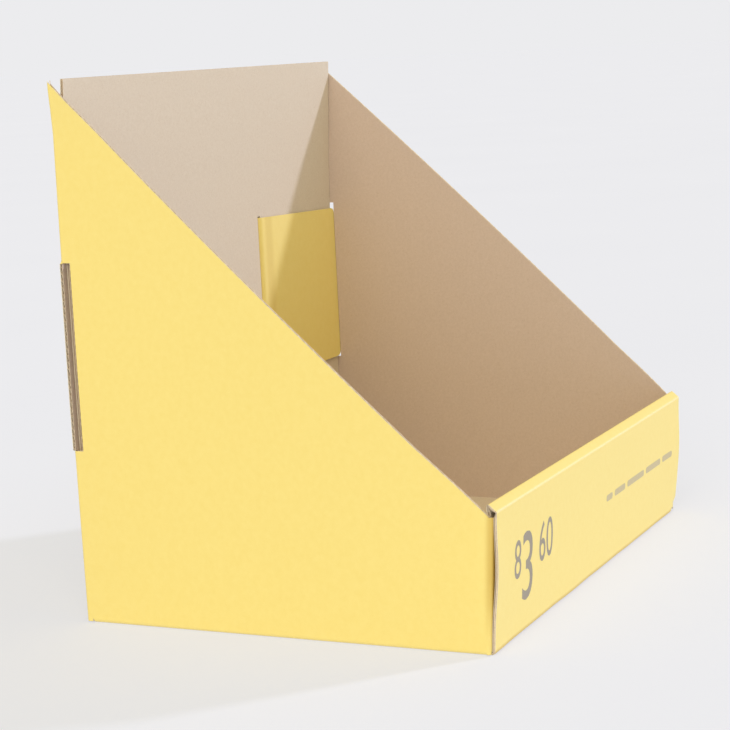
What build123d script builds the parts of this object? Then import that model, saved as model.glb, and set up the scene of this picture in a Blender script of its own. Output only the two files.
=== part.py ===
from build123d import *
import math
import os

# A counter display tray, folded from one die-cut blank of thin corrugated board.
# Millimetres, +Z up, the low open side faces -Y. The tray is drawn with its left panel at x = 0 and its
# front crease at y = 0, and moved at the end, so that the origin is the bottom centre of its box.

# Board and folds
board = 1.6
inside_radius = 0.2            # inside of a scored fold
lip_radius = 0.8               # outside of the two crushed creases of the front lip
edge_gap = 0.4                 # raw edge of a tucked panel to the panel beside it
relief = 0.5                   # each fold stops short of the corner by this much

# Tray
tray_width = 296.0             # over the side panels at the base
tray_depth = 215.6             # front crease to the outer face of the rear flaps
rear_height = 265.0            # tip of the side panels
front_height = 64.0            # front corner of the side panels
side_bow = 5.6                 # how far the middle of each sloped edge stands out

# Front wall: outer panel, lip, and inner panel locked in the base
front_gap = 0.1                # air between its layers
front_lean = 3.0               # degrees forward
front_margin = 1.3             # outer panel to the outer face of the side panels
lip_height = 66.6              # outer crease of the lip, along the panel
lip_rise = 3.9                 # inner crease above the outer crease
lip_return = 4.0               # length of the inner panel that is as wide as the lip
corner_flap_length = 70.0
corner_flap_taper = 4.0
lock_tab_width = 36.0
lock_tab_spacing = 150.0
lock_tab_gap = 0.2
lift = 0.15                    # tucked edges above what they stand on

# Back panel
back_rise = 1.3                # above the tips of the side panels
bend_above_tabs = 14.0         # the panel bends forward this far above the locking tabs
bend_radius = 500.0
bend_lean = 3.8                # how far its top edge comes forward

# Rear flaps and their locking tabs
rear_gap = 0.25                # air between the layers of the rear wall
crease_x = 1.0                 # crease between side panel and flap, from the outer face of the side
flap_drop = 7.0                # top of the flap below the tip of the side panel
flap_taper = 9.0
flap_bottom = 4.0
heel = 0.5                     # bottom of the rear corners
tab_fold_x = 97.0              # outside of the tab's fold, from the outer face of the side panel
tab_neck = 9.0                 # the flap is only as high as the tab over this length
tab_end_x = 1.9
tab_height = 93.8              # at its fold
tab_end_height = 90.7          # at its free end
tab_corner = 3.0
slot_gap = 0.3                 # outside the tab's fold
slot_end_gap = 0.8             # above and below it

# Notch at mid-height in the rear edge of each side panel, where the tab ends
notch_height = 92.2
notch_overcut = 2.6            # the right notch is cut higher by this
notch_inset = 1.8
notch_gap = 0.3                # in front of the tab

fold_radius = board + inside_radius
back_face_y = tray_depth - board - rear_gap          # rear face of the back panel
tab_face_y = back_face_y - 2 * board - rear_gap      # front face of the locking tabs
tab_turn = (tray_depth - tab_face_y) / 2             # outside radius of the tab's half-round fold
flap_face = board + front_gap                        # printed face of the corner flaps, in the front wall
corner_fold = flap_face + fold_radius                # where the flat of a side panel ends, in the front wall
inner_face = 3 * board + 2 * front_gap               # printed face of the inner panel, in the front wall
flap_width = tab_fold_x - tab_neck
notch_bottom = (rear_height - notch_height) / 2
tab_bottom = notch_bottom + slot_end_gap
tab_root_top = tab_bottom + tab_height
tab_end_top = tab_bottom + tab_end_height
reach = 2 * (tray_width + tray_depth + rear_height)  # longer than anything cut here
flush = 1e-6                                         # points closer than this are one


def leaned(y, z):
    """A point of the upright front wall, after the wall leans forward about its base crease."""
    angle = math.radians(front_lean)
    return y * math.cos(angle) - z * math.sin(angle), y * math.sin(angle) + z * math.cos(angle)


def front_edge_length(z):
    """Length along the front fold of a side panel, up to height z."""
    angle = math.radians(front_lean)
    return (z - corner_fold * math.sin(angle)) / math.cos(angle)


def front_edge(z):
    """Front end of the flat of a side panel, at height z."""
    return leaned(corner_fold, front_edge_length(z))


def slope_height(y):
    """Height of the sloped edge of a side panel, at depth y."""
    front_y = front_edge(front_height)[0]
    rise = rear_height - front_height
    return front_height + rise * (y - front_y) / (tray_depth - front_y)


def inner_corners(points):
    """Corners of the path that runs one board thickness to the left of the given path."""
    steps = [Vector(*b) - Vector(*a) for a, b in zip(points, points[1:])]
    steps = [step.normalized() for step in steps]
    corners = []
    for point, before, after in zip(points, [steps[0]] + steps, steps + [steps[-1]]):
        miter = Vector(-before.Y - after.Y, before.X + after.X)
        corner = Vector(*point) + miter * (2 * board / miter.dot(miter))
        corners.append((corner.X, corner.Y))
    return corners


def rounded_path(points, radii):
    """Lines and arcs along a polyline, with one radius at each corner."""
    edges = []
    here = Vector(*points[0])
    for corner, after, radius in zip(points[1:-1], points[2:], radii):
        corner = Vector(*corner)
        ahead = (corner - here).normalized()
        away = (Vector(*after) - corner).normalized()
        setback = radius * math.tan(math.radians(ahead.get_angle(away)) / 2)
        start = corner - ahead * setback
        end = corner + away * setback
        if (start - here).length > flush:
            edges.append(Line(here, start))
        if setback > flush:
            edges.append(TangentArc(start, end, tangent=ahead))
        here = end
    last = Vector(*points[-1])
    if (last - here).length > flush:
        edges.append(Line(here, last))
    return edges


def board_section(points, radii):
    """Section of folded board. The path is its printed side, and the board lies to the left of it."""
    inner = inner_corners(points)
    printed = rounded_path(points, radii)
    plain = rounded_path(inner, [max(radius - board, 0) for radius in radii])
    ends = [Line(points[0], inner[0]), Line(points[-1], inner[-1])]
    return make_face([*printed, *plain, *ends])


def along_x(face, start, end):
    """Extrude a section drawn in (y, z)."""
    return extrude(Plane((start, 0, 0), x_dir=(0, 1, 0), z_dir=(1, 0, 0)) * face, end - start)


def along_y(face, start, end):
    """Extrude a section drawn in (x, z)."""
    return extrude(Plane((0, end, 0), x_dir=(1, 0, 0), z_dir=(0, -1, 0)) * face, end - start)


def along_z(face, start, end):
    """Extrude a section drawn in (x, y)."""
    return extrude(Pos(0, 0, start) * face, end - start)


def block(x, y, z):
    """A box from its range along each axis."""
    corner = (Align.MIN, Align.MIN, Align.MIN)
    return Pos(x[0], y[0], z[0]) * Box(x[1] - x[0], y[1] - y[0], z[1] - z[0], align=corner)


def side_panel():
    """Left side panel, flat along its three folds and bowed out along its sloped edge."""
    rear_y = tray_depth - fold_radius
    front_ends = [front_edge(fold_radius), front_edge(front_height)]
    rear_ends = [(rear_y, fold_radius), (rear_y, slope_height(rear_y))]
    rows = []
    for share, bow in ((0, 0), (0.5, 0), (1, 2 * side_bow)):
        front = [low + share * (top - low) for low, top in zip(*front_ends)]
        rear = [low + share * (top - low) for low, top in zip(*rear_ends)]
        middle = [(a + b) / 2 for a, b in zip(front, rear)]
        rows.append([(0, *front), (-bow, *middle), (0, *rear)])
    return extrude(Face.make_bezier_surface(rows), amount=board, dir=(1, 0, 0))


def side_base_fold():
    """Fold between the left side panel and the base."""
    section = board_section([(0, fold_radius), (0, 0), (fold_radius, 0)], [fold_radius])
    start = front_edge(fold_radius)[0] + relief
    return along_y(section, start, back_face_y - fold_radius - relief)


def corner_flap():
    """Flap at the front of the left side panel, held between the two panels of the front wall."""
    path = [(0, corner_fold), (0, flap_face), (corner_flap_length, flap_face)]
    top = front_edge_length(front_height)
    flap = along_z(board_section(path, [fold_radius]), board + lift, top)
    corners = [(fold_radius, top), (corner_flap_length, top - corner_flap_taper), (corner_flap_length, top)]
    flap -= along_y(make_face(Polyline(*corners, close=True)), 0, inner_face)
    return Rot(X=front_lean) * flap


def rear_flap():
    """Flap at the rear of the left side panel, behind the back panel."""
    path = [(flap_width, tray_depth), (0, tray_depth), (0, tray_depth - fold_radius)]
    flap = along_z(board_section(path, [fold_radius]), heel, rear_height)

    # Its top and bottom edges, and the tip of the side panel above it
    flap_top = rear_height - flap_drop
    above = [
        (crease_x, flap_top),
        (flap_width, flap_top - flap_taper),
        (flap_width, reach),
        (crease_x, reach),
    ]
    flap -= along_y(make_face(Polyline(*above, close=True)), 0, reach)
    flap -= block((crease_x, flap_width), (0, reach), (0, flap_bottom))
    low = tray_depth - fold_radius
    tip = [(low, slope_height(low)), (tray_depth, rear_height), (tray_depth, reach), (low, reach)]
    flap -= along_x(make_face(Polyline(*tip, close=True)), -1, crease_x + board)

    # Rear corner below the end of the base fold
    heel_start = back_face_y - fold_radius
    return flap + block((0, board), (heel_start, low), (heel, fold_radius))


def locking_tab():
    """Tab of the left rear flap, forward through the back panel and back to the corner."""
    path = [
        (tab_end_x, tab_face_y),
        (tab_fold_x, tab_face_y),
        (tab_fold_x, tray_depth),
        (flap_width, tray_depth),
    ]
    tab = along_z(board_section(path, [tab_turn, tab_turn]), tab_bottom, tab_root_top)
    taper = [
        (0, tab_end_top),
        (tab_end_x, tab_end_top),
        (tab_fold_x - tab_turn, tab_root_top),
        (0, tab_root_top),
    ]
    tab -= along_y(make_face(Polyline(*taper, close=True)), tab_face_y - 1, tab_face_y + 2 * board)
    free_corners = tab.edges().filter_by(Axis.Y).group_by(Axis.X)[0]
    return fillet(free_corners, tab_corner)


def side_wall(notch_top):
    """Everything hinged on the left of the base."""
    wall = side_panel() + side_base_fold() + corner_flap() + rear_flap()
    notch_y = tab_face_y - notch_gap
    wall -= block((-side_bow, notch_inset), (notch_y, reach), (notch_bottom, notch_top))
    return wall + locking_tab()


def front_wall():
    """Outer panel, lip and inner panel, with the inner panel's locking tabs."""
    crease = lip_height + lip_rise
    path = [
        leaned(inner_face, crease - lip_return),
        leaned(inner_face, crease),
        leaned(0, lip_height),
        (0, 0),
        (fold_radius, 0),
    ]
    section = board_section(path, [lip_radius, lip_radius, fold_radius])
    wall = along_x(section, front_margin, tray_width - front_margin)

    margin = board + edge_gap
    layer = (inner_face - board, inner_face)
    inner = block((margin, tray_width - margin), layer, (board + lift, crease - lip_return))
    for start, end in lock_tab_ranges():
        inner += block((start, end), layer, (lift, board + lift))
    return wall + Rot(X=front_lean) * inner


def lock_tab_ranges():
    """Range along x of each locking tab of the inner panel."""
    middles = [(tray_width - lock_tab_spacing) / 2, (tray_width + lock_tab_spacing) / 2]
    return [(middle - lock_tab_width / 2, middle + lock_tab_width / 2) for middle in middles]


def base():
    """Base panel, with a slot for each locking tab of the inner panel."""
    width = (fold_radius, tray_width - fold_radius)
    plate = block(width, (fold_radius, back_face_y - fold_radius), (0, board))
    slot_y = (leaned(inner_face - board, board)[0] - lock_tab_gap, inner_face + lock_tab_gap)
    for start, end in lock_tab_ranges():
        plate -= block((start - lock_tab_gap, end + lock_tab_gap), slot_y, (-1, board + 1))
    return plate


def back_panel():
    """Back panel, with a slot for each locking tab of the rear flaps."""
    path = [
        (back_face_y - fold_radius, 0),
        (back_face_y, 0),
        (back_face_y, tab_root_top + bend_above_tabs),
        (back_face_y - bend_lean, rear_height + back_rise),
    ]
    margin = board + edge_gap
    section = board_section(path, [fold_radius, bend_radius])
    panel = along_x(section, margin, tray_width - margin)
    slot_z = (tab_bottom - slot_end_gap, tab_root_top + slot_end_gap)
    slot_x = (tab_fold_x - tab_turn, tab_fold_x + slot_gap)
    for start, end in (slot_x, (tray_width - slot_x[1], tray_width - slot_x[0])):
        panel -= block((start, end), (back_face_y - 2 * board, tray_depth), slot_z)
    return panel


notch_top = notch_bottom + notch_height
left_wall = side_wall(notch_top)
right_wall = Pos(tray_width, 0, 0) * mirror(side_wall(notch_top + notch_overcut), about=Plane.YZ)
tray = base() + front_wall() + back_panel() + left_wall + right_wall

box = tray.bounding_box()
tray = Pos(-tray_width / 2, -(box.min.Y + box.max.Y) / 2, 0) * tray

os.makedirs("parts", exist_ok=True)
export_step(tray, "parts/display_tray.step")
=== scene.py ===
import math

import bmesh
import bpy
from mathutils import Matrix, Vector, noise


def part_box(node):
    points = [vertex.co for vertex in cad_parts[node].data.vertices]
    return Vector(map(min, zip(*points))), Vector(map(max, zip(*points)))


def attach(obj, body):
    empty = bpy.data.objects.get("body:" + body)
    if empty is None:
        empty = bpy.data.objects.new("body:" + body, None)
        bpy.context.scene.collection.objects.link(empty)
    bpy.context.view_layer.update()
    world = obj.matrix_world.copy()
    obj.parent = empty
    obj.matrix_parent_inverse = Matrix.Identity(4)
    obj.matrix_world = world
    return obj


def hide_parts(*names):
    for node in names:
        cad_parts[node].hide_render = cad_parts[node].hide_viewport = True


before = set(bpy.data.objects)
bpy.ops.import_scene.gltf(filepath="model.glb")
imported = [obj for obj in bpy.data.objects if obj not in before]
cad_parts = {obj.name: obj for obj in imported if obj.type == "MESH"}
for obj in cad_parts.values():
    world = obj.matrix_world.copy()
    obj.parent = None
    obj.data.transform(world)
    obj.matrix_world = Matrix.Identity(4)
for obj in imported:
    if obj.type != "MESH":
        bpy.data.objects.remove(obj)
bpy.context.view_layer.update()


# Front wall, base and back panel. The middle strip of one corrugated blank: a printed liner outside, a
# plain brown liner inside and a fluted sheet glued between, die-cut and creased flat, then folded.
# Sizes are millimetres: x is the width, y the depth from the front crease, z the height.
board = 1.6
liner = 0.2
medium = 0.16
flute_pitch = 3.3
flute_facets = 6
flute_offset = 0.675           # brings the side of a flute to the strip's cut edges
least_turn = 0.35              # shortest middle radius of a crushed crease
same_place = 1e-5              # points closer than this are one


def score_lines(bm, axis, stops):
    """Cut every face of a flat sheet along lines square to one axis."""
    for stop in stops:
        everything = bm.verts[:] + bm.edges[:] + bm.faces[:]
        bmesh.ops.bisect_plane(bm, geom=everything, dist=same_place, plane_co=axis * stop, plane_no=axis)


def die_cut(bm, corners):
    """Knock out of a flat sheet the convex piece between these corners, given anticlockwise."""
    corners = [Vector((*corner, 0)) for corner in corners]
    low = [min(corner[i] for corner in corners) for i in (0, 1)]
    high = [max(corner[i] for corner in corners) for i in (0, 1)]
    sides = []
    for here, after in zip(corners, corners[1:] + corners[:1]):
        along = (after - here).normalized()
        sides.append((here, Vector((along.y, -along.x, 0))))
    for point, outward in sides:
        near = set()
        for face in bm.faces:
            spans = [[vert.co[i] for vert in face.verts] for i in (0, 1)]
            if all(min(span) < b and max(span) > a for span, a, b in zip(spans, low, high)):
                near.update((face, *face.verts, *face.edges))
        bmesh.ops.bisect_plane(bm, geom=list(near), dist=same_place, plane_co=point, plane_no=outward)
    waste = []
    for face in bm.faces:
        middle = face.calc_center_median()
        if all((middle - point).dot(outward) < 0 for point, outward in sides):
            waste.append(face)
    bmesh.ops.delete(bm, geom=waste, context="FACES")


def blank(width, length, waste, scores):
    """A flat die-cut sheet: x runs with the flutes, y across them."""
    bm = bmesh.new()
    bmesh.ops.create_grid(bm, x_segments=1, y_segments=1, size=0.5)
    bmesh.ops.scale(bm, vec=(width[1] - width[0], length[1] - length[0], 1), verts=bm.verts)
    middle = (sum(width) / 2, sum(length) / 2, 0)
    bmesh.ops.translate(bm, vec=middle, verts=bm.verts)
    for corners in waste:
        die_cut(bm, corners)
    score_lines(bm, Vector((1, 0, 0)), scores)
    return bm


def thicken(bm, thickness):
    """Give a sheet its thickness, away from the printed side."""
    made = bmesh.ops.extrude_face_region(bm, geom=bm.faces[:])["geom"]
    lifted = [item for item in made if isinstance(item, bmesh.types.BMVert)]
    bmesh.ops.translate(bm, vec=(0, 0, thickness), verts=lifted)


def layers(width, length, waste, scores, panels):
    """The three layers of a blank, flat: printed liner, fluted sheet and plain liner."""
    made = []
    for depth in (0, board - liner):
        bm = blank(width, length, waste, scores)
        score_lines(bm, Vector((0, 1, 0)), panels)
        bmesh.ops.translate(bm, vec=(0, 0, depth), verts=bm.verts)
        thicken(bm, liner)
        for face in bm.faces:
            flat = max(vert.co.z for vert in face.verts) - min(vert.co.z for vert in face.verts) < liner / 2
            shown = depth if depth == 0 else depth + liner
            face.material_index = 0 if flat and abs(face.verts[0].co.z - shown) < liner / 2 else 1
        made.append(bm)
    bm = blank(width, length, waste, scores)
    facet = flute_pitch / flute_facets
    steps = range(math.ceil(length[0] / facet), math.ceil(length[1] / facet))
    score_lines(bm, Vector((0, 1, 0)), [step * facet for step in steps])
    swing = (board - 2 * liner - medium) / 2
    for vert in bm.verts:
        wave = 2 * math.pi * (vert.co.y - flute_offset) / flute_pitch
        vert.co.z = (board - medium) / 2 + swing * math.cos(wave)
    thicken(bm, medium)
    made.insert(1, bm)
    return made


def fold_route(points, radii):
    """Flats and turns along the printed side of a folded section, each with its start distance."""
    route = []
    distance = 0
    here = Vector(points[0])
    for corner, after, radius in zip(points[1:-1], points[2:], radii):
        corner = Vector(corner)
        ahead = (corner - here).normalized()
        away = (Vector(after) - corner).normalized()
        angle = ahead.angle(away)
        setback = radius * math.tan(angle / 2)
        flat = (corner - here).length - setback
        turn = angle * max(radius - board / 2, least_turn)
        route.append((distance, flat, here, ahead, 0, 0))
        route.append((distance + flat, turn, corner - ahead * setback, ahead, radius, angle))
        distance += flat + turn
        here = corner + away * setback
    last = Vector(points[-1]) - here
    route.append((distance, last.length, here, last.normalized(), 0, 0))
    return route


def on_route(route, side, distance, depth):
    """Place in the section at a distance along the route and a depth into the board."""
    step = route[-1]
    for step in route:
        if distance < step[0] + step[1]:
            break
    start, length, point, heading, radius, angle = step
    inward = Vector((-heading.y, heading.x)) * side
    if not radius:
        return point + heading * (distance - start) + inward * depth
    turned = Matrix.Rotation(side * angle * (distance - start) / length, 2) @ inward
    return point + inward * radius - turned * (radius - depth)


def fold_scores(route, segments, spacing):
    """Distances at which a sheet needs an edge: along its turns, and now and then between them."""
    stops = []
    for start, length, _, _, radius, angle in route:
        count = math.ceil(segments * angle / (math.pi / 2)) if radius else math.ceil(length / spacing)
        stops += [start + length * i / max(count, 1) for i in range(1, max(count, 1) + 1)]
    return stops[:-1]


def smooth_share(value, low, high):
    """0 below low, 1 above high, and a smooth rise between."""
    share = min(max((value - low) / (high - low), 0), 1)
    return share * share * (3 - 2 * share)


low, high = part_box("display_tray")
tray_width = 296.0
tray_depth = 215.6
origin = Vector(((low.x + high.x) / 2 - tray_width / 2000, high.y - tray_depth / 1000, low.z))


def put_down(bm, name, fold, creases, materials):
    """Fold a flat layer and keep it as a finished piece of the tray, with its masks for the rubbed creases
    and the painted shade of the print.
    """
    crease_mask = bm.verts.layers.float.new("crease")
    # The second mask marks painted shade: where the print's colour is darkened for shade at folds.
    painted_shade_mask = bm.verts.layers.float.new("painted_shade")
    for vert in bm.verts:
        flat = vert.co.copy()
        vert[crease_mask], vert[painted_shade_mask] = creases(flat)
        vert.co = origin + Vector(fold(*flat)) / 1000
    bmesh.ops.recalc_face_normals(bm, faces=bm.faces[:])
    mesh = bpy.data.meshes.new(name)
    bm.to_mesh(mesh)
    bm.free()
    for material in materials:
        mesh.materials.append(material)
    mesh.shade_smooth()
    mesh.set_sharp_from_angle(angle=math.radians(40))
    piece = bpy.data.objects.new(name, mesh)
    bpy.context.scene.collection.objects.link(piece)
    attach(piece, "root")
    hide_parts("display_tray")
    return piece


def add(tree, kind, inputs=None, **settings):
    """A node with its settings, each input holding a value or fed from an output."""
    made = tree.nodes.new(kind)
    for name, value in settings.items():
        setattr(made, name, value)
    for name, value in (inputs or {}).items():
        if isinstance(value, bpy.types.NodeSocket):
            tree.links.new(value, made.inputs[name])
        else:
            made.inputs[name].default_value = value
    return made


def tint(red, green, blue):
    """A display colour, 0 to 255, as a linear colour."""
    shares = [value / 255 for value in (red, green, blue)]
    return (*[s / 12.92 if s < 0.04045 else ((s + 0.055) / 1.055) ** 2.4 for s in shares], 1)


def group_socket(group, name, direction, kind):
    group.interface.new_socket(name, in_out=direction, socket_type=kind)


paper_grain = bpy.data.node_groups.new("paper_grain", "ShaderNodeTree")
group_socket(paper_grain, "Cloud size", "INPUT", "NodeSocketFloat")
group_socket(paper_grain, "Fleck size", "INPUT", "NodeSocketFloat")
group_socket(paper_grain, "Cloud", "OUTPUT", "NodeSocketFloat")
group_socket(paper_grain, "Fibre", "OUTPUT", "NodeSocketFloat")
group_socket(paper_grain, "Fleck", "OUTPUT", "NodeSocketFloat")
grain_in = add(paper_grain, "NodeGroupInput")
grain_place = add(paper_grain, "ShaderNodeTexCoord").outputs["Object"]
cloud = add(paper_grain, "ShaderNodeTexNoise", {
    "Vector": grain_place, "Scale": grain_in.outputs["Cloud size"], "Detail": 3, "Roughness": 0.6})
drawn = add(paper_grain, "ShaderNodeMapping", {
    "Vector": grain_place, "Rotation": (0.5, 0.35, 0.2), "Scale": (1, 2.6, 1.3)})
fibre = add(paper_grain, "ShaderNodeTexNoise", {
    "Vector": drawn.outputs[0], "Scale": 900, "Detail": 4, "Roughness": 0.7, "Distortion": 1.5})
fleck = add(paper_grain, "ShaderNodeTexNoise", {
    "Vector": grain_place, "Scale": grain_in.outputs["Fleck size"], "Detail": 1})
fleck_mask = add(paper_grain, "ShaderNodeMapRange", {
    "Value": fleck.outputs[0], "From Min": 0.62, "From Max": 0.78})
add(paper_grain, "NodeGroupOutput", {
    "Cloud": cloud.outputs[0], "Fibre": fibre.outputs[0], "Fleck": fleck_mask.outputs[0]})


fibre_height = 0.0001          # metres, as the shader takes it


def paper(name, dark, light, fleck_colour, cloud_size, fleck_size, roughness, bump):
    """An unglazed paper between two shades, with its flecks."""
    material = bpy.data.materials.new(name)
    material.use_nodes = True
    tree = material.node_tree
    shader = tree.nodes["Principled BSDF"]
    grain = add(tree, "ShaderNodeGroup", node_tree=paper_grain)
    grain.inputs["Cloud size"].default_value = cloud_size
    grain.inputs["Fleck size"].default_value = fleck_size
    shade = add(tree, "ShaderNodeMath", {0: grain.outputs["Cloud"], 1: grain.outputs["Fibre"]},
                operation="ADD")
    ramp = add(tree, "ShaderNodeMapRange", {
        "Value": shade.outputs[0], "From Min": 0.65, "From Max": 1.35})
    body = add(tree, "ShaderNodeMix", {0: ramp.outputs[0], 6: dark, 7: light}, data_type="RGBA")
    flecked = add(tree, "ShaderNodeMix", {6: body.outputs[2], 7: fleck_colour}, data_type="RGBA")
    share = add(tree, "ShaderNodeMath", {0: grain.outputs["Fleck"], 1: 0.5}, operation="MULTIPLY")
    tree.links.new(share.outputs[0], flecked.inputs[0])
    tree.links.new(flecked.outputs[2], shader.inputs["Base Color"])
    shader.inputs["Roughness"].default_value = roughness
    relief = add(tree, "ShaderNodeBump", {
        "Height": grain.outputs["Fibre"], "Strength": bump, "Distance": fibre_height})
    tree.links.new(relief.outputs[0], shader.inputs["Normal"])
    return material


kraft_clouds = 700
kraft_flecks = 2600
# Painted light: the strip's kraft is drawn paler than the wings' kraft of the same blank, to stand for the
# light on the back wall.
strip_kraft_painted_light = paper("strip_kraft_liner", tint(212, 197, 174), tint(221, 208, 187), tint(184, 152, 116),
                    kraft_clouds, kraft_flecks, roughness=0.85, bump=0.3)
flute_paper = paper("flute_paper", tint(216, 197, 172), tint(236, 221, 200), tint(176, 146, 112),
                    kraft_clouds, kraft_flecks, roughness=0.9, bump=0.4)
cut_liner_paper = paper("cut_liner_paper", tint(222, 210, 186), tint(244, 238, 224), tint(190, 165, 130),
                        cloud_size=500, fleck_size=2200, roughness=0.85, bump=0.4)


def printed_paper(name, ink_dark, ink_light, ink_painted_shade, roughness):
    """Varnished flat ink over white paper, rubbed through at the lip, with shade painted in as a darker ink
    at folds in shade.
    """
    material = bpy.data.materials.new(name)
    material.use_nodes = True
    tree = material.node_tree
    shader = tree.nodes["Principled BSDF"]
    grain = add(tree, "ShaderNodeGroup", node_tree=paper_grain)
    grain.inputs["Cloud size"].default_value = 320
    grain.inputs["Fleck size"].default_value = 2400
    shade = add(tree, "ShaderNodeMath", {0: grain.outputs["Cloud"], 1: grain.outputs["Fibre"]},
                operation="ADD")
    ramp = add(tree, "ShaderNodeMapRange", {
        "Value": shade.outputs[0], "From Min": 0.65, "From Max": 1.35})
    ink = add(tree, "ShaderNodeMix", {0: ramp.outputs[0], 6: ink_dark, 7: ink_light}, data_type="RGBA")
    # Painted shade: the ink is mixed towards a darker orange by the painted shade mask.
    painted_shade = add(tree, "ShaderNodeAttribute", attribute_name="painted_shade")
    ink_with_painted_shade = add(tree, "ShaderNodeMix", {0: painted_shade.outputs["Fac"], 6: ink.outputs[2], 7: ink_painted_shade},
                  data_type="RGBA")
    crease = add(tree, "ShaderNodeAttribute", attribute_name="crease")
    rub = add(tree, "ShaderNodeMath", {0: crease.outputs["Fac"], 1: grain.outputs["Fibre"]},
              operation="MULTIPLY")
    rubbed = add(tree, "ShaderNodeMapRange", {
        "Value": rub.outputs[0], "From Min": 0.34, "From Max": 0.6, "To Max": 0.45})
    shown = add(tree, "ShaderNodeMix", {0: rubbed.outputs[0], 6: ink_with_painted_shade.outputs[2], 7: tint(250, 240, 205)},
                data_type="RGBA")
    tree.links.new(shown.outputs[2], shader.inputs["Base Color"])
    gloss = add(tree, "ShaderNodeMapRange", {
        "Value": grain.outputs["Fibre"], "To Min": roughness - 0.05, "To Max": roughness + 0.08})
    tree.links.new(gloss.outputs[0], shader.inputs["Roughness"])
    relief = add(tree, "ShaderNodeBump", {
        "Height": shade.outputs[0], "Strength": 0.12, "Distance": fibre_height})
    tree.links.new(relief.outputs[0], shader.inputs["Normal"])
    return material


# The third colour is painted shade: a darker orange for folds that lie in shade.
yellow_print = printed_paper("yellow_print", tint(244, 221, 128), tint(247, 226, 137), tint(218, 187, 93),
                             roughness=0.45)


inside_radius = 0.2
fold_radius = board + inside_radius
lip_radius = 0.8
front_lean = math.radians(3.0)
front_margin = 1.3
inner_face = 3 * board + 0.2
lip_height = 66.6
lip_crease = 70.5
lip_return = 4.0
tuck_margin = 2.0
back_margin = 1.75
lift = 0.15
lock_tabs = ((55.0, 91.0), (205.0, 241.0))
back_face = 213.75
bend_height = 195.05
bend_radius = 500.0
bend_lean = 3.8
back_height = 266.3
slot_heights = (86.45, 181.75)
slot_widths = ((94.3, 97.3), (198.7, 201.7))


def leaned(y, z):
    """A point of the upright front wall, after the wall leans out about its base crease."""
    return (y * math.cos(front_lean) - z * math.sin(front_lean),
            y * math.sin(front_lean) + z * math.cos(front_lean))


strip_route = fold_route([
    leaned(inner_face, lift),
    leaned(inner_face, lip_crease),
    leaned(0, lip_height),
    (0, 0),
    (back_face, 0),
    (back_face, bend_height),
    (back_face - bend_lean, back_height),
], [lip_radius, lip_radius, fold_radius, fold_radius, bend_radius])
lip_turns = [step[0] + step[1] / 2 for step in strip_route[1:4:2]]
base_start = strip_route[6][0]
back_start = strip_route[8][0]
strip_end = strip_route[-1][0] + strip_route[-1][1]
inner_end = lip_crease - lip_return - lift


front_top = strip_route[4][0]
front_foot = strip_route[5][0]
worn_corner = tray_width - front_margin
lip_crush = 0.56               # share of the thickness lost at a crease of the lip
sprung_out = 1.15              # the front's ends bulge this far, most at one height
sprung_height = 38.0
sprung_span = 27.0
sprung_left = 14.0             # distance in which the bulge fades from the left end
sprung_right = 22.0
sprung_right_share = 0.85
foot_wander = 0.9              # the foot crease wanders back and up by as much as these
foot_rise = 0.35
foot_reach = 18.0
wander_length = 26.0
rise_length = 19.0
worn_reach = 9.0               # the front's lower right corner is worn off to this distance
worn_across, worn_back, worn_up = 1.3, 1.6, 1.5


def strip_place(distance, across, depth):
    """Fold the strip, with the lip crushed, the front's ends sprung out and its foot a little wavy."""
    crush = 0
    for turn in lip_turns:
        crush = max(crush, 1 - smooth_share(abs(distance - turn), 0.6, 3.0))
    y, z = on_route(strip_route, 1, distance, depth * (1 - lip_crush * crush))
    if front_top < distance < base_start + 20:
        swell = max(0, math.cos(math.pi / 2 * min(abs(z - sprung_height) / sprung_span, 1))) ** 2
        left_end = math.exp((front_margin - across) / sprung_left)
        right_end = math.exp((across - worn_corner) / sprung_right)
        y -= sprung_out * swell * (left_end + sprung_right_share * right_end)
        foot = 1 - smooth_share(abs(distance - front_foot), 1, foot_reach)
        wander = 0.5 + 0.5 * noise.noise(Vector((across / wander_length, 3.7, 0)))
        rise = 0.5 + 0.5 * noise.noise(Vector((across / rise_length, 8.2, 0)))
        y += foot_wander * foot * wander * smooth_share(across, 4, 40)
        z += foot_rise * foot * rise * smooth_share(across, 6, 40)
        worn = 1 - smooth_share(math.hypot(across - worn_corner, z), 0, worn_reach)
        across -= worn_across * worn
        y += worn_back * worn
        z += worn_up * worn
    return across, y, z


def strip_rub_and_painted_shade(flat):
    """How rubbed a point is, at the two crushed creases of the lip, and how much painted shade it takes: a
    thin dark line along the front's foot.
    """
    outer = 1 - smooth_share(abs(flat.x - lip_turns[1]), 0.2, 0.8)
    inner = 1 - smooth_share(abs(flat.x - lip_turns[0]), 0.2, 0.7)
    # Painted shade: a thin dark line along the foot crease, where the front meets the floor.
    foot = smooth_share(flat.x, front_foot - 0.8, front_foot + 0.5)
    return max(outer, 0.75 * inner), foot * (1 - smooth_share(flat.x, base_start, base_start + 2))


def rectangle(start, end, low, high):
    """The corners of a cut-out, along the strip and then across it."""
    return [(start, low), (end, low), (end, high), (start, high)]


def both_sides(shapes):
    """Cut-outs given for the left, with the same ones on the right."""
    mirrored = [[(a, tray_width - b) for a, b in reversed(shape)] for shape in shapes]
    return shapes + mirrored


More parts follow.
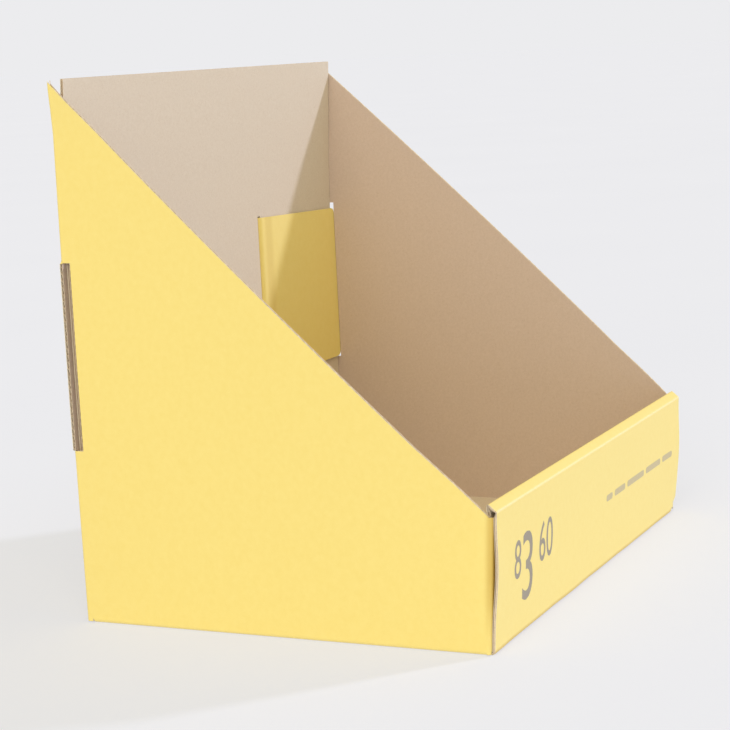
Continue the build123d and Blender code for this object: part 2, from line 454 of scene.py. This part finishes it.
past_end = 1.0                 # a cut at an end of the sheet starts this far outside it
back_relief = 2.4              # the back panel's width begins this far before its crease
lock_slot_span = (3.1, 5.2)
lock_slot_gap = 0.2
strip_waste = both_sides([
    rectangle(-past_end, inner_end, 0, tuck_margin),
    rectangle(-past_end, board, 0, lock_tabs[0][0]),
    rectangle(inner_end, base_start, 0, front_margin),
    rectangle(base_start, back_start - back_relief, 0, fold_radius),
    rectangle(back_start - back_relief, strip_end + past_end, 0, back_margin),
])
strip_waste.append(rectangle(-past_end, board, lock_tabs[0][1], lock_tabs[1][0]))
lock_slot = [base_start + y - fold_radius for y in lock_slot_span]
tab_slot = [back_start + z - fold_radius for z in slot_heights]
for start, end in lock_tabs:
    strip_waste.append(rectangle(*lock_slot, start - lock_slot_gap, end + lock_slot_gap))
for start, end in slot_widths:
    strip_waste.append(rectangle(*tab_slot, start, end))

turn_segments = 6              # facets in a right-angled crease
strip_scores = fold_scores(strip_route, turn_segments, 24)
strip_scores += [front_foot - step for step in (1, 3, 6, 10, 16, 22, 28, 34, 40, 46, 52, 58)]
strip_scores += [base_start + step for step in (2, 6, 12)]
for turn in lip_turns:
    strip_scores += [turn - 3, turn - 1.8, turn + 1.8, turn + 3]
strip_columns = [tray_width * i / 32 for i in range(1, 32)] + [3, 6, 14, 22, 282, 285, 288, 291, 293]
strip_layers = layers((0, strip_end), (0, tray_width), strip_waste, strip_scores, strip_columns)
for name, bm, papers in zip(
    ("strip_printed_liner", "strip_flutes", "strip_plain_liner"),
    strip_layers,
    ([yellow_print, cut_liner_paper], [flute_paper], [strip_kraft_painted_light, flute_paper]),
):
    put_down(bm, name, strip_place, strip_rub_and_painted_shade, papers)


# Print on the front. Plain grey numerals and a row of plain bars. Each is a thin film of flat ink,
# laid on the printed liner and bent with it.
def ink(name, dark, light):
    """A thin flat ink, a little uneven."""
    material = bpy.data.materials.new(name)
    material.use_nodes = True
    tree = material.node_tree
    grain = add(tree, "ShaderNodeGroup", node_tree=paper_grain)
    grain.inputs["Cloud size"].default_value = 900
    grain.inputs["Fleck size"].default_value = 2600
    shade = add(tree, "ShaderNodeMix", {0: grain.outputs["Cloud"], 6: dark, 7: light}, data_type="RGBA")
    tree.links.new(shade.outputs[2], tree.nodes["Principled BSDF"].inputs["Base Color"])
    tree.nodes["Principled BSDF"].inputs["Roughness"].default_value = 0.5
    return material


grey_ink = ink("grey_ink", tint(142, 133, 118), tint(160, 150, 132))
pale_ink = ink("pale_ink", tint(190, 176, 134), tint(206, 190, 146))
film = 0.05                    # height of the ink over the liner
film_root = 0.08               # depth of the ink in the liner
print_grid = 6.0


def print_on_front(bm, name, ink):
    """Lay a flat figure, x across and y up the front panel, on the printed liner as ink."""
    bmesh.ops.remove_doubles(bm, verts=bm.verts, dist=1e-4)
    bmesh.ops.dissolve_limit(bm, angle_limit=0.01, verts=bm.verts[:], edges=bm.edges[:])
    bmesh.ops.recalc_face_normals(bm, faces=bm.faces[:])
    score_lines(bm, Vector((1, 0, 0)), [print_grid * i for i in range(1, 49)])
    score_lines(bm, Vector((0, 1, 0)), [print_grid * i for i in range(1, 11)])
    bmesh.ops.translate(bm, vec=(0, 0, -film), verts=bm.verts)
    thicken(bm, film + film_root)
    foot_height = fold_radius * math.tan((math.pi / 2 - front_lean) / 2)
    for vert in bm.verts:
        across, up, depth = vert.co
        vert.co = origin + Vector(strip_place(front_foot - (up - foot_height), across, depth)) / 1000
    bm.normal_update()
    bmesh.ops.recalc_face_normals(bm, faces=bm.faces[:])
    mesh = bpy.data.meshes.new(name)
    bm.to_mesh(mesh)
    bm.free()
    mesh.materials.append(ink)
    piece = bpy.data.objects.new(name, mesh)
    bpy.context.scene.collection.objects.link(piece)
    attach(piece, "root")
    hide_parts("display_tray")


for name, figure, left, foot, height, squeeze in (
    ("numeral_small", "8", 24.5, 28.5, 18.5, 0.78),
    ("numeral_large", "3", 35.5, 15.5, 33.0, 0.82),
    ("numeral_raised", "60", 58.5, 28.5, 19.5, 0.74),
):
    letters = bpy.data.curves.new(name, "FONT")
    letters.body = figure
    letters.resolution_u = 4
    holder = bpy.data.objects.new(name, letters)
    bpy.context.scene.collection.objects.link(holder)
    bpy.context.view_layer.update()
    flat_mesh = bpy.data.meshes.new_from_object(holder)
    bpy.data.objects.remove(holder)
    bm = bmesh.new()
    bm.from_mesh(flat_mesh)
    lows = [min(vert.co[i] for vert in bm.verts) for i in (0, 1)]
    tall = max(vert.co.y for vert in bm.verts) - lows[1]
    bmesh.ops.translate(bm, vec=(-lows[0], -lows[1], 0), verts=bm.verts)
    bmesh.ops.scale(bm, vec=(height / tall * squeeze, height / tall, 0), verts=bm.verts)
    bmesh.ops.translate(bm, vec=(left, foot, 0), verts=bm.verts)
    print_on_front(bm, name, grey_ink)

bar_spans = ((162, 172), (176, 194), (198, 228), (232, 259), (263, 281))
bar_middle = 36.4
bar_height = 3.4
bar_corner = 1.4
bars = bmesh.new()
for start, end in bar_spans:
    made = bmesh.ops.create_grid(bars, x_segments=1, y_segments=1, size=0.5)["verts"]
    bmesh.ops.scale(bars, vec=(end - start, bar_height, 1), verts=made)
    bmesh.ops.translate(bars, vec=((start + end) / 2, bar_middle, 0), verts=made)
bmesh.ops.bevel(bars, geom=bars.verts[:], offset=bar_corner, segments=4, profile=0.5,
                affect="VERTICES", material=-1)
print_on_front(bars, "plain_bars", pale_ink)


# Side walls. Each is one wing of the blank: a corner flap inside the front wall, the side panel with
# its sloped edge bowed out, a flap behind the back panel, and the tab that locks through its slot.
rear_height = 265.0
front_height = 64.0
side_bow = 5.6
flap_face = board + 0.1
corner_flap_length = 70.0
corner_flap_taper = 4.0
corner_fold = flap_face + fold_radius
flap_end = 88.0
flap_drop = 7.0
flap_taper = 9.0
flap_bottom = 4.0
heel = 0.5
crease_x = 1.0
tab_face = 210.3
tab_fold = 97.0
tab_turn = 2.65
tab_end = 0.8
tab_bottom = 87.2
tab_root_top = 181.0
tab_end_top = 177.9
tab_corner = 3.0
notch_bottom = 86.4
notch_tops = (178.6, 181.2)
notch_reach = 1.5
notch_gap = 0.3
notch_edge = 0.4               # the rear flap's edge lies flat in the notch, less this much at each end
base_fold_gap = 0.5            # cut at each end of the part that folds under the base
lean_reach = 40.0
reach = 900.0                  # higher than the blank
below = -9.0                   # lower than the blank
swollen_out = 1.1              # how far use has pushed out the left wall's rear edge and its tip
curled_out = 2.2
curled_up = 0.9
front_rounding = 0.6

wing_route = fold_route([
    (corner_flap_length, flap_face),
    (0, flap_face),
    (0, tray_depth),
    (tab_fold, tray_depth),
    (tab_fold, tab_face),
    (tab_end, tab_face),
], [fold_radius, fold_radius, tab_turn, tab_turn])
side_start = wing_route[2][0]
rear_turn = wing_route[3][0]
flap_start = wing_route[4][0]
tab_back = wing_route[8][0]
wing_end = tab_back + wing_route[8][1]
base_turn = math.pi / 2 * (fold_radius - board / 2)
front_edge_y = (corner_fold - front_height * math.sin(front_lean)) / math.cos(front_lean)
panel_rear = tray_depth - fold_radius


def slope_height(y):
    """Height of the sloped edge at a depth."""
    return front_height + (rear_height - front_height) * (y - front_edge_y) / (tray_depth - front_edge_y)


def along_panel(y):
    """Distance along the wing of a depth on the side panel."""
    return side_start + y - corner_fold


def bow(y, z):
    """How far the side panel stands out, most at the middle of the sloped edge."""
    rise = 0.5
    for _ in range(4):
        front_y = (corner_fold - (fold_radius + rise * (front_height - fold_radius)) * math.sin(front_lean))
        along = min(max((y - front_y) / (panel_rear - front_y), 0), 1)
        top = front_height + along * (slope_height(panel_rear) - front_height)
        rise = min(max((z - fold_radius) / (top - fold_radius), 0), 1)
    return 4 * side_bow * along * (1 - along) * rise ** 2


def wing_place(distance, up, depth, notch_top):
    """Fold the left wing; up is the height, and goes on round the base crease."""
    x, y = on_route(wing_route, -1, distance, depth)
    z = up
    in_notch = notch_bottom + notch_edge < up < notch_top - notch_edge
    if rear_turn < distance < flap_start and in_notch:
        x, y = fold_radius - (flap_start - distance) * notch_reach, tray_depth - depth
    cut_middle = along_panel(back_face - fold_radius - base_fold_gap / 2)
    folds_under = side_start + base_fold_gap < distance < cut_middle
    if up < fold_radius and folds_under:
        turned = math.pi / 2 * (fold_radius - up) / base_turn
        x = fold_radius - (fold_radius - depth) * math.cos(turned)
        z = fold_radius - (fold_radius - depth) * math.sin(turned)
    if distance < rear_turn:
        fade = 1 - smooth_share(y, corner_fold, corner_fold + lean_reach)
        y += fade * (y * (1 / math.cos(front_lean) - 1) - z * math.tan(front_lean))
    if side_start < distance < rear_turn:
        x -= bow(y, z)
    return x, y, z


def left_wing_place(distance, up, depth):
    """The left wing, rounded at its front fold, its rear edge swollen and its tip curled out by use."""
    x, y, z = wing_place(distance, up, depth, notch_tops[0])
    rearward = smooth_share(y, 130, 213) if distance < tab_back - 12 else 0
    swollen = swollen_out * math.sin(math.pi * min(z / rear_height, 1))
    curled = curled_out * smooth_share(z, 240, 265)
    x -= (swollen + curled) * rearward
    z += curled_up * smooth_share(z, 252, 265) * rearward
    x += front_rounding * (1 - smooth_share(abs(distance - side_start), 0, 6)) * smooth_share(z, 3, 16)
    return x, y, z


def right_wing_place(distance, up, depth):
    """The right wing is the left one turned over."""
    x, y, z = wing_place(distance, up, depth, notch_tops[1])
    return tray_width - x, y, z


def wing_rub_and_painted_shade(flat):
    """How rubbed a point of the wing is at its creases, and how much painted shade it takes at the front and
    tab folds.
    """
    turns = [step[0] + step[1] / 2 for step in wing_route if step[4]]
    rubbed = 0.45 * max(1 - smooth_share(abs(flat.x - turn), 0.2, 1.3) for turn in turns)
    # Painted shade at the front fold, where the front wall's end shades the side panel's rounded fold.
    front = (1 - smooth_share(flat.x - side_start, -0.9, 2.6)) * smooth_share(flat.y, 1, 34)
    # Painted shade in a stripe just past the tab fold, where the tab curls away from the light.
    past_fold = flat.x - tab_back
    tab = 0.35 * smooth_share(past_fold, 0.5, 4) * (1 - smooth_share(past_fold, 8, 13))
    return rubbed, max(front, tab)


def wing_waste(notch_top):
    """What the die takes out of a wing."""
    slope_bend = along_panel(corner_fold + lean_reach)
    crease = rear_turn + (flap_start - rear_turn) * math.acos(1 - crease_x / fold_radius) / (math.pi / 2)
    flap_edge = flap_start + flap_end - fold_radius
    flap_top = rear_height - flap_drop
    slope = [
        (side_start, front_height),
        (slope_bend, slope_height(corner_fold + lean_reach)),
        (rear_turn, slope_height(panel_rear)),
        (crease, rear_height - 0.2),
    ]
    waste = [[a, b, (b[0], reach), (a[0], reach)] for a, b in zip(slope, slope[1:])]
    heel_start = along_panel(back_face - fold_radius)
    heel_cut = along_panel(back_face - fold_radius - base_fold_gap)
    corner_side = (-past_end, front_height - corner_flap_taper)
    waste += [
        [corner_side, (side_start, front_height), (side_start, reach), (-past_end, reach)],
        rectangle(-past_end, side_start - 1.2, below, fold_radius - 0.05),
        rectangle(side_start - 1.2, side_start + base_fold_gap, below, 0.3),
        rectangle(heel_cut, heel_start, below, fold_radius),
        rectangle(heel_start, crease, below, heel),
        rectangle(crease, flap_edge, below, flap_bottom),
        [(crease, flap_top), (flap_edge, flap_top - flap_taper), (flap_edge, reach), (crease, reach)],
        rectangle(flap_edge, wing_end + past_end, below, tab_bottom),
        rectangle(flap_edge, tab_back, tab_root_top, reach),
        [(tab_back, tab_root_top), (wing_end, tab_end_top), (wing_end, reach), (tab_back, reach)],
        rectangle(along_panel(tab_face - notch_gap), rear_turn + 0.05, notch_bottom, notch_top),
    ]
    for corner_height, away in ((tab_end_top, -1), (tab_bottom, 1)):
        for turn in (0, 30, 60):
            a, b = (math.radians(90 - turn - part) for part in (0, 30))
            points = [(wing_end - tab_corner + tab_corner * math.cos(angle),
                       corner_height + away * (tab_corner - tab_corner * math.sin(angle)))
                      for angle in (a, b)]
            points += [(wing_end + 0.5, points[1][1]), (wing_end + 0.5, corner_height - away * 0.5),
                       (points[0][0], corner_height - away * 0.5)]
            waste.append(points if away < 0 else points[::-1])
    return waste


# Painted shade: the wings' kraft is the same board as the strip's, drawn darker for the shaded inside of the
# side walls.
wing_kraft_painted_shade = paper("wing_kraft_liner", tint(193, 173, 157), tint(204, 185, 171), tint(168, 134, 98),
                   kraft_clouds, kraft_flecks, roughness=0.85, bump=0.3)
wing_scores = fold_scores(wing_route, turn_segments, 16)
wing_rows = [fold_radius - base_turn * i / turn_segments for i in range(turn_segments)]
wing_rows += [2.6, 3.4, 6, 9, 255, 258, 261] + [12.0 * i for i in range(1, 23)]
wing_rows += [notch_bottom + 0.5, notch_tops[0] - 0.5, notch_tops[1] - 0.5]
wing_scores += [side_start + step for step in (0.8, 1.6, 2.4, 3.4, 4.6, 6)]
wing_scores += [tab_back + step for step in (1, 2.5, 4, 6, 8, 9.5, 11, 13)]
for side, place, notch_top in (
    ("left", left_wing_place, notch_tops[0]),
    ("right", right_wing_place, notch_tops[1]),
):
    wing_layers = layers((0, wing_end), (fold_radius - base_turn, rear_height),
                         wing_waste(notch_top), wing_scores, wing_rows)
    for name, bm, papers in zip(
        (side + "_printed_liner", side + "_flutes", side + "_plain_liner"),
        wing_layers,
        ([yellow_print, cut_liner_paper], [flute_paper], [wing_kraft_painted_shade, flute_paper]),
    ):
        put_down(bm, name, place, wing_rub_and_painted_shade, papers)


# Floor and light. A pale floor that glows a little, like a light table, even light from all round, a
# soft main light from the front right above, and two broad lights from the left.
floor_material = bpy.data.materials.new("studio_floor")
floor_material.use_nodes = True
floor_tree = floor_material.node_tree
floor_place = add(floor_tree, "ShaderNodeTexCoord").outputs["Object"]
floor_cloud = add(floor_tree, "ShaderNodeTexNoise", {"Vector": floor_place, "Scale": 3, "Detail": 2})
floor_shade = add(floor_tree, "ShaderNodeMix", {
    0: floor_cloud.outputs[0], 6: (0.418, 0.413, 0.392, 1), 7: (0.438, 0.433, 0.412, 1)}, data_type="RGBA")
floor_shader = floor_tree.nodes["Principled BSDF"]
floor_tree.links.new(floor_shade.outputs[2], floor_shader.inputs["Base Color"])
floor_shader.inputs["Roughness"].default_value = 0.9
floor_shader.inputs["Specular IOR Level"].default_value = 0
floor_shader.inputs["Emission Color"].default_value = (0.418, 0.443, 0.532, 1)
floor_shader.inputs["Emission Strength"].default_value = 1
floor_radius = 40              # metres
floor_drop = 0.0001            # keeps the floor just clear of the base
floor_bm = bmesh.new()
bmesh.ops.create_circle(floor_bm, cap_ends=True, segments=96, radius=floor_radius)
bmesh.ops.translate(floor_bm, vec=(0, 0, -floor_drop), verts=floor_bm.verts)
floor_mesh = bpy.data.meshes.new("studio_floor")
floor_bm.to_mesh(floor_mesh)
floor_bm.free()
floor_mesh.materials.append(floor_material)
floor = bpy.data.objects.new("studio_floor", floor_mesh)
bpy.context.scene.collection.objects.link(floor)

world = bpy.data.worlds.new("studio")
bpy.context.scene.world = world
world.use_nodes = True
world_tree = world.node_tree
backdrop = world_tree.nodes["Background"]
backdrop.inputs["Color"].default_value = tint(236, 236, 238)
room = add(world_tree, "ShaderNodeBackground", {"Color": (0.557, 0.513, 0.385, 1)})
seen = add(world_tree, "ShaderNodeLightPath")
choice = add(world_tree, "ShaderNodeMixShader", {
    0: seen.outputs["Is Camera Ray"], 1: room.outputs[0], 2: backdrop.outputs[0]})
world_tree.links.new(choice.outputs[0], world_tree.nodes["World Output"].inputs["Surface"])


def sun(name, travel, strength, spread, colour):
    """A soft light whose rays all travel one way."""
    lamp = bpy.data.lights.new(name, "SUN")
    lamp.energy = strength
    lamp.angle = math.radians(spread)
    lamp.color = colour
    holder = bpy.data.objects.new(name, lamp)
    holder.rotation_euler = Vector(travel).to_track_quat("-Z", "Y").to_euler()
    bpy.context.scene.collection.objects.link(holder)


sun("main_light", (-1.1, 1, -0.55), 1.59, 5, (0.85, 0.91, 1.24))
sun("left_fill", (1, 0.1, -0.12), 0.42, 30, (0.98, 1.0, 1.02))
sun("left_overhead", (1, 0.3, -0.9), 1.11, 50, (1.13, 1.05, 0.82))
bpy.context.scene.view_settings.view_transform = "Standard"


# Camera, at the left front and a little above the tray.
yaw, pitch, roll = (math.radians(angle) for angle in (24.939, -8.922, -2.846))
ahead = Vector((math.cos(yaw) * math.cos(pitch), math.sin(yaw) * math.cos(pitch), math.sin(pitch)))
right = Vector((math.sin(yaw), -math.cos(yaw), 0))
above = right.cross(ahead)
camera_right = math.cos(roll) * right + math.sin(roll) * above
camera_above = -math.sin(roll) * right + math.cos(roll) * above
camera = bpy.data.objects.new("camera", bpy.data.cameras.new("camera"))
camera.data.lens = 100.597
camera.data.sensor_width = 36
camera.data.clip_end = 200
turn = Matrix((camera_right, camera_above, -ahead)).transposed()
camera.matrix_world = Matrix.Translation((-0.97532, -0.43367, 0.27533)) @ turn.to_4x4()
bpy.context.scene.collection.objects.link(camera)
bpy.context.scene.camera = camera
